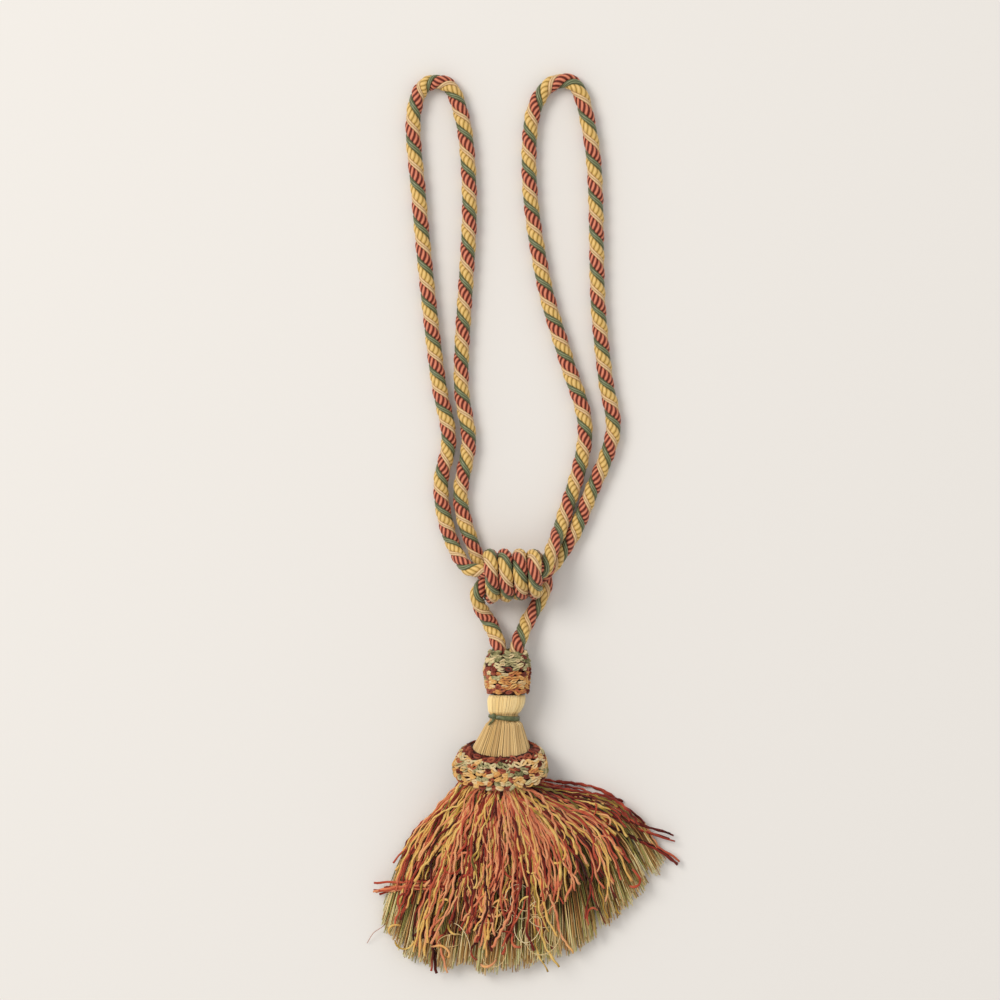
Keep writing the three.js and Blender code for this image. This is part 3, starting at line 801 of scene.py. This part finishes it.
ruff("head_ruff_stitches", "head_ruff", HEAD_ROWS, [
    (-48.2, 12, (0.74, 0.84, 0.9)),
    (-45.6, 22, (0.74, 0.82, 0.9, 0.84, 0.12)),
    (-42.6, 24, (0.72, 0.8, 0.88, 0.9, 0.78)),
    (-39.4, 25, (0.76, 0.84, 0.9, 0.1, 0.72)),
    (-36.2, 26, (0.12, 0.18, 0.84, 0.26, 0.72)),
    (-32.9, 26, (0.12, 0.18, 0.24, 0.4, 0.76)),
    (-29.6, 26, (0.46, 0.52, 0.6, 0.24, 0.9)),
    (-26.3, 26, (0.46, 0.52, 0.56, 0.62)),
    (-23.0, 25, (0.46, 0.5, 0.42, 0.56, 0.2)),
    (-19.8, 25, (0.16, 0.22, 0.3, 0.4)),
], seed=31)
ruff("collar_ruff_stitches", "collar_ruff", COLLAR_ROWS, [
    (24.0, 38, (0.08, 0.14, 0.2, 0.26)),
    (26.6, 44, (0.66, 0.74, 0.84, 0.6, 0.9)),
    (29.3, 44, (0.1, 0.16, 0.22, 0.28, 0.6, 0.84)),
    (32.0, 46, (0.46, 0.54, 0.62, 0.68, 0.84, 0.92)),
    (35.2, 46, (0.5, 0.56, 0.62, 0.54, 0.18, 0.92)),
    (38.4, 46, (0.54, 0.6, 0.66, 0.46, 0.88)),
    (41.4, 44, (0.1, 0.48, 0.56, 0.6, 0.9, 0.16)),
], seed=47)


# ---------------------------------------------------------------- skirt

# The strands are rooted on ovals inside the collar, this far down from the tie. They have spread a little
# where they leave it, at its mouth.
BACKING = {"down": 37.5, "x": -2.4, "z": 20.2, "wide": 23.4, "deep": 16.8}
MOUTH = {"down": 46, "spread": 1.04}
# The fan's middle line and its hem: rows of the place across it, -1 to 1 from left to right, and x and y.
FAN_MIDDLE = np.array([(-1, -69, -91), (-0.5, -37, -107), (0, 1, -115), (0.5, 46, -100), (1, 93, -69)])
FAN_HEM = np.array([
    (-1, -96, -158), (-0.75, -77, -184), (-0.4, -44, -195), (0, -3, -198.5), (0.3, 31, -192),
    (0.55, 68, -173), (0.8, 107, -138), (1, 128, -110),
])
# The top of the settled skirt: its height at the fan's edges, its rise from there to the middle, and how much
# of that rise is left at the hem. Strands come down to it between these shares of their way out.
FAN = {"edge": 5, "rise": 13.2, "hem_share": 0.8, "settling": (0.04, 0.42)}
# How far round the collar the roots go, in turns either side of its top, for strands at the fan's edges.
FRINGE_ROOTS = 0.22
CHENILLE_ROOTS = 0.24
# The shares of a strand's way at which its wander is given.
OUTS = np.array([0.0, 0.07, 0.2, 0.34, 0.48, 0.62, 0.76, 0.88, 1.0])
# The lowest that the middle of a strand of chenille lies.
CHENILLE_LOWEST = 1.2


def skirt_top(across, out):
    """How high the top of the settled skirt is."""
    dome = FAN["rise"] * np.sqrt(np.clip(1 - across ** 4, 0, 1))
    return FAN["edge"] + dome * mix(1, FAN["hem_share"], out)


def fan_lines(across, level, reach, root_turn, root_share, wander, heave):
    """Centre lines of strands, from a root in the collar to a place across the fan, at a level of its depth.

    wander and heave give how far each strand strays sideways and up at each of OUTS.
    """
    cos, sin = np.cos(root_turn * TAU), np.sin(root_turn * TAU)
    root_x = BACKING["x"] + BACKING["wide"] * root_share * cos
    root_z = BACKING["z"] + BACKING["deep"] * root_share * sin
    lean = LEAN["full"] * (root_z - BACKING["z"])
    root = np.stack([root_x, -BACKING["down"] - lean], axis=-1)
    mouth = np.stack([root_x * MOUTH["spread"], -MOUTH["down"] - lean], axis=-1)
    middle = np.stack([np.interp(across, FAN_MIDDLE[:, 0], FAN_MIDDLE[:, k]) for k in (1, 2)], axis=-1)
    hem = np.stack([np.interp(across, FAN_HEM[:, 0], FAN_HEM[:, k]) for k in (1, 2)], axis=-1)
    flat = spline(np.stack([root, mouth, middle, hem], axis=1), per_span=12)
    flat = np.concatenate([flat, np.zeros(flat.shape[:2] + (1,))], axis=2)
    places = OUTS[None] * reach[:, None]
    points, _ = along(flat, np.clip(places, 0, 1))
    settled = skirt_top(across[:, None], places) * level[:, None]
    points[..., 2] = mix(root_z[:, None], settled, smoothstep(places, *FAN["settling"]))
    sideways = np.stack([np.cos(across), np.sin(across), np.zeros(len(across))], axis=-1)
    points += wander[..., None] * sideways[:, None]
    points[..., 2] += heave
    return points


def strands(points, rings):
    """Smooth lines through points, with rings at even steps."""
    places = np.broadcast_to(np.linspace(0, 1, rings), (len(points), rings))
    line, _ = along(spline(points, per_span=8), places)
    return line


def wandering(random, count, rings, knots, spread):
    """Slowly changing random values along each strand."""
    values = random.uniform(-spread, spread, (count, knots))
    at = np.linspace(0, knots - 1, rings)
    return np.stack([np.interp(at, np.arange(knots), row) for row in values])


def strays(random, count, size):
    """How far strands wander at each of OUTS: none at the collar, more towards their ends."""
    size = np.broadcast_to(size, count)[:, None]
    lean, bow, twist = random.uniform(-1, 1, (3, count, 1))
    bend = lean * OUTS + 0.5 * bow * np.sin(OUTS * math.pi) + 0.25 * twist * np.sin(OUTS * TAU)
    return size * (bend + random.uniform(-0.12, 0.12, (count, len(OUTS)))) * (OUTS > 0.1)


# The share of the fringe's threads that are olive.
OLIVE_SHARE = 0.36


def fringe():
    """Fine straight threads in tufts through the skirt's depth, brown or olive and paler at their ends."""
    random = np.random.default_rng(71)
    count, tufts, rings, half = 2600, 90, 11, 0.5
    which = random.integers(0, tufts, count)
    across = np.linspace(-0.97, 0.97, tufts)[which] + random.normal(0, 0.013, count)
    across = np.clip(across, -0.98, 0.98)
    level = random.uniform(0.06, 0.94, count)
    reach = 1 - random.triangular(0, 0.02, 0.09, tufts)[which] - random.triangular(0, 0.01, 0.14, count)
    root_turn = TOP - across * FRINGE_ROOTS + random.uniform(-0.03, 0.03, count)
    root_turn = np.where(level < 0.5, -root_turn, root_turn)
    root_share = random.uniform(0.3, 0.8, count)
    wander = strays(random, tufts, size=3.5)[which] + strays(random, count, size=1.8)
    heave = strays(random, count, size=0.9)
    points = fan_lines(across, level, reach, root_turn, root_share, wander, heave)
    centre = strands(points, rings)
    centre[..., 2] = np.maximum(centre[..., 2], half)
    out = np.linspace(0, 1, rings)
    # The middle of the dyes is cream, with brown on one side of it and olive on the other.
    hue = np.where(random.random((count, 1)) < OLIVE_SHARE, 1.0, -1.0)
    paling = 0.24 * smoothstep(out, 0.76, 1.0)
    deep = np.clip(random.triangular(0.0, 0.4, 0.56, (count, 1)) - paling, 0, 0.5)
    size = half * mix(1.0, 0.85, out)
    mesh = swept(centre + WAIST, size, size, sides=3, dye=0.5 + hue * deep)
    return piece("fringe_threads", [mesh], [FRINGE], "fringe_skirt")


fringe()


def crimped(lines, random, size):
    """Kinks in chenille: short waves sideways and up, each strand with its own length of wave."""
    count, rings = lines.shape[:2]
    run = runs(lines)
    wave = random.uniform(6.5, 20, (count, 1))
    phase = random.uniform(0, 1, (count, 1))
    swell = 1 + wandering(random, count, rings, knots=7, spread=0.7)
    beside = unit(np.cross((0, 0, 1.0), unit(np.gradient(lines, axis=1))))
    ease = smoothstep(run, 4, 30)
    shift = size * swell * ease * np.sin((run / wave + phase) * TAU)
    lines = lines + beside * shift[..., None]
    # The waves up are shallower and longer, so that the two don't keep step.
    lines[..., 2] += 0.6 * size * ease * np.sin((run / wave * 0.8 + phase * 3) * TAU)
    return lines


# The chenille's layers: how many strands each has, and between which levels of the skirt's depth they lie.
UNDER, DEEP = 0, 1
LAYER_STRANDS = (50, 100, 270)
LAYER_LEVELS = np.array([(0.02, 0.12), (0.86, 1.0), (1.04, 1.24)])
# Where their dyes lie on the chenille's range. A strand has its lock's dye or its own.
LOCK_DYES = (0.1, 0.2, 0.36, 0.44, 0.52, 0.64, 0.7, 0.76, 0.84)
STRAND_DYES = (0.1, 0.2, 0.32, 0.42, 0.52, 0.66, 0.74, 0.86)
# Deep strands take the darkest dyes and dark olive: painted shade deep in the skirt, over their dyed colour.
DEEP_SHADED_DYES = (0.02, 0.08, 0.15, 0.24, 1.0)


def chenille():
    """Strands in locks: under the skirt, dark ones deep in it, and brighter ones on top."""
    random = np.random.default_rng(83)
    layer = np.repeat((0, 1, 2), LAYER_STRANDS)
    count, locks, rings = len(layer), 52, 56
    lock_at = np.linspace(-1, 1, locks) + random.uniform(-0.02, 0.02, locks)
    lock_strays = strays(random, locks, size=16)
    lock_reach = random.triangular(0.46, 0.72, 0.98, locks)
    lock_dye = random.choice(LOCK_DYES, locks)
    which = random.integers(0, locks, count)
    across = np.clip(lock_at[which] + random.normal(0, 0.035, count), -1, 1)
    lowest, highest = LAYER_LEVELS[layer].T
    level = random.uniform(lowest, highest)
    reach = np.clip(lock_reach[which] + random.uniform(-0.22, 0.1, count), 0.4, 1.03)
    root_turn = np.where(layer == UNDER, -TOP + across * FRINGE_ROOTS, TOP - across * CHENILLE_ROOTS)
    root_share = random.uniform(0.84, 0.96, count)
    wander = lock_strays[which] + strays(random, count, size=random.choice((3, 6, 16), count))
    # Strands near the fan's edges stray less, so that the skirt keeps its outline.
    wander *= 1 - 0.8 * across[:, None] ** 4
    heave = strays(random, count, size=1.6)
    points = fan_lines(across, level, reach, root_turn, root_share, wander, heave)
    centre = crimped(strands(points, rings), random, size=0.38)
    centre[..., 2] = np.maximum(centre[..., 2], CHENILLE_LOWEST)
    # The deep strands are painted dark, as shade.
    dark = random.choice(DEEP_SHADED_DYES, (count, 1))
    in_lock = random.random(count) < 0.5
    bright = np.where(in_lock, lock_dye[which], random.choice(STRAND_DYES, count))[:, None]
    dye = np.where(layer[:, None] == DEEP, dark, bright)
    dye = np.clip(dye + wandering(random, count, rings, knots=12, spread=0.15), 0, 1)
    half = random.uniform(0.6, 1.0, (count, 1)) * (1 + wandering(random, count, rings, knots=40, spread=0.38))
    mesh = swept(centre + WAIST, half, half * 0.9, sides=4, dye=dye)
    return piece("chenille_yarns", [mesh], [CHENILLE], "chenille_skirt")


chenille()


# How far a curl's ends are below the skirt's top.
CURL_SUNK = 2.5


def curls(random, count, places, radii, sweep, lift, rings):
    """Loops that stand on the skirt at (across, out) places, their two ends sunk between its strands.

    radii, sweep in turns and lift above the skirt's top are ranges.
    """
    across, out = places
    still = np.zeros((count, len(OUTS)))
    root_turn = TOP - across * CHENILLE_ROOTS
    lines = fan_lines(across, np.full(count, 1.0), out, root_turn, np.full(count, 0.9), still, still)
    middle = lines[:, -1]
    start = random.uniform(0, 1, (count, 1))
    turn = (start + random.uniform(*sweep, (count, 1)) * np.linspace(0, 1, rings)) * TAU
    wide, high = (random.uniform(*radii, (count, 1)) for _ in range(2))
    tilt = random.uniform(-0.6, 0.6, (count, 1))
    at = np.linspace(-1, 1, rings)
    grow = 1 + 0.35 * at
    x, y = wide * grow * np.cos(turn), high * grow * np.sin(turn)
    ends = at[None] ** 4
    z = random.uniform(*lift, (count, 1)) * (1 - ends) - CURL_SUNK * ends
    offset = np.stack([x * np.cos(tilt) - y * np.sin(tilt), x * np.sin(tilt) + y * np.cos(tilt),
                       np.broadcast_to(z, x.shape)], axis=-1)
    return middle[:, None] + offset


def loose_ends(random, rows, count, spread, rings):
    """Strands that leave the skirt together: rows gives places along them, and spread how they part."""
    rows = np.array(rows, float)
    parting = random.uniform(-1, 1, (count, 1, 3)) * np.linspace(0.2, 1, len(rows))[None, :, None] * spread
    straying = random.uniform(-1, 1, (count, len(rows), 3)) * 0.8
    return strands(rows[None] + parting + straying, rings)


# Chenille that leaves the skirt: its places, how many strands, how far they part, and their dyes.
LOOSE_CHENILLE = [
    # The tuft that reaches left across the fringe.
    ([(-44, -127, 17), (-60, -126, 15), (-78, -127, 11), (-94, -129, 7)], 11, (5, 7, 3),
     (0.2, 0.3, 0.38, 0.45)),
    # Down the right edge, and below it.
    ([(34, -56, 20), (66, -70, 14), (96, -82, 9), (124, -91, 6)], 5, (4, 3, 2), (0.08, 0.14, 0.22)),
    ([(70, -78, 14), (96, -90, 10), (118, -101, 7), (131, -110, 4)], 4, (2, 3, 2), (0.06, 0.12, 0.26)),
    # Down the left edge.
    ([(-36, -55, 18), (-50, -72, 13), (-62, -90, 9), (-78, -112, 6)], 7, (6, 5, 2), (0.36, 0.56, 0.7, 0.8)),
]
CURL_DYES = (0.3, 0.46, 0.6, 0.72, 0.84, 0.14)
# The places along the pink thread, and half the thickness of any loose thread.
PINK_THREAD = [(-84, -150, 8), (-91, -158, 6), (-98, -163, 5), (-103, -171, 2)]
THREAD_HALF = 0.28


def loose_chenille(random):
    """The meshes of chenille that curls back or leaves the skirt."""
    count, rings = 38, 22
    places = random.uniform(-0.85, 0.85, count), random.uniform(0.35, 0.92, count)
    lines = curls(random, count, places, radii=(4, 10), sweep=(0.25, 0.6), lift=(2.5, 4.2), rings=rings)
    groups = [(lines, CURL_DYES)]
    for rows, count, spread, dyes in LOOSE_CHENILLE:
        groups.append((loose_ends(random, rows, count, spread, rings), dyes))
    meshes = []
    for lines, dyes in groups:
        count = len(lines)
        lines = crimped(lines, random, size=0.35)
        lines[..., 2] = np.maximum(lines[..., 2], CHENILLE_LOWEST)
        half = random.uniform(0.6, 0.95, (count, 1))
        half = half * (1 + wandering(random, count, rings, knots=10, spread=0.25))
        dye = random.choice(dyes, (count, 1)) + wandering(random, count, rings, knots=4, spread=0.12)
        meshes.append(swept(lines + WAIST, half, half * 0.85, sides=5, dye=np.clip(dye, 0, 1)))
    return meshes


def loose_threads(random):
    """The mesh of fine thread that has worked loose: loops on the skirt, and a pink end on its left."""
    count, rings = 17, 34
    # Most of the loops are right of the middle.
    across = np.concatenate([random.uniform(-0.1, 0.4, 11), random.uniform(-0.5, 0.6, 6)])
    out = random.uniform(0.55, 0.88, count)
    places = across, out
    lines = curls(random, count, places, radii=(4, 15), sweep=(0.4, 0.85), lift=(2.2, 4.2), rings=rings)
    lines = np.concatenate([lines, strands(np.array([PINK_THREAD]), rings)])
    dye = np.concatenate([random.uniform(0.45, 0.95, count), [0.0]])[:, None]
    return swept(lines + WAIST, THREAD_HALF, THREAD_HALF, sides=4, dye=dye)


def loose_yarns():
    random = np.random.default_rng(29)
    meshes = loose_chenille(random)
    materials = [CHENILLE] * len(meshes) + [THREAD]
    return piece("loose_yarns", meshes + [loose_threads(random)], materials, None)


loose_yarns()


# ---------------------------------------------------------------- floor and light

# In metres: the floor's half width, its middle, and how far it is below what lies on it.
FLOOR_HALF = 3
FLOOR_MIDDLE = (0, 0.2)
FLOOR_GAP = 0.0002


def floor():
    bm = bmesh.new()
    bmesh.ops.create_grid(bm, x_segments=1, y_segments=1, size=FLOOR_HALF)
    bmesh.ops.translate(bm, verts=bm.verts, vec=(*FLOOR_MIDDLE, -FLOOR_GAP))
    mesh = mesh_of(bm, "floor")
    material = bpy.data.materials.new("pale_matt_floor")
    material.use_nodes = True
    shader = material.node_tree.nodes["Principled BSDF"]
    shader.inputs["Base Color"].default_value = linear("#e7e3dd")
    shader.inputs["Roughness"].default_value = 0.9
    shader.inputs["Specular IOR Level"].default_value = 0.1
    mesh.materials.append(material)
    placed("floor", mesh)


def soft_light(name, place, aim, size, power, colour):
    """A round area light at a place, aimed at another."""
    data = bpy.data.lights.new(name, "AREA")
    data.shape = "DISK"
    data.size = size
    data.energy = power
    data.color = linear(colour)[:3]
    made = placed(name, data)
    made.location = place
    made.rotation_mode = "QUATERNION"
    made.rotation_quaternion = (Vector(aim) - Vector(place)).to_track_quat("-Z", "Y")


def world():
    made = bpy.data.worlds.new("studio")
    made.use_nodes = True
    background = made.node_tree.nodes["Background"]
    background.inputs["Color"].default_value = linear("#f8f7f7")
    background.inputs["Strength"].default_value = 0.74
    bpy.context.scene.world = made


floor()
world()
soft_light("key", (-3.2, 2.1, 4.2), aim=(*FLOOR_MIDDLE, 0), size=2.9, power=165, colour="#fffdfa")
bpy.context.scene.view_settings.view_transform = "Standard"
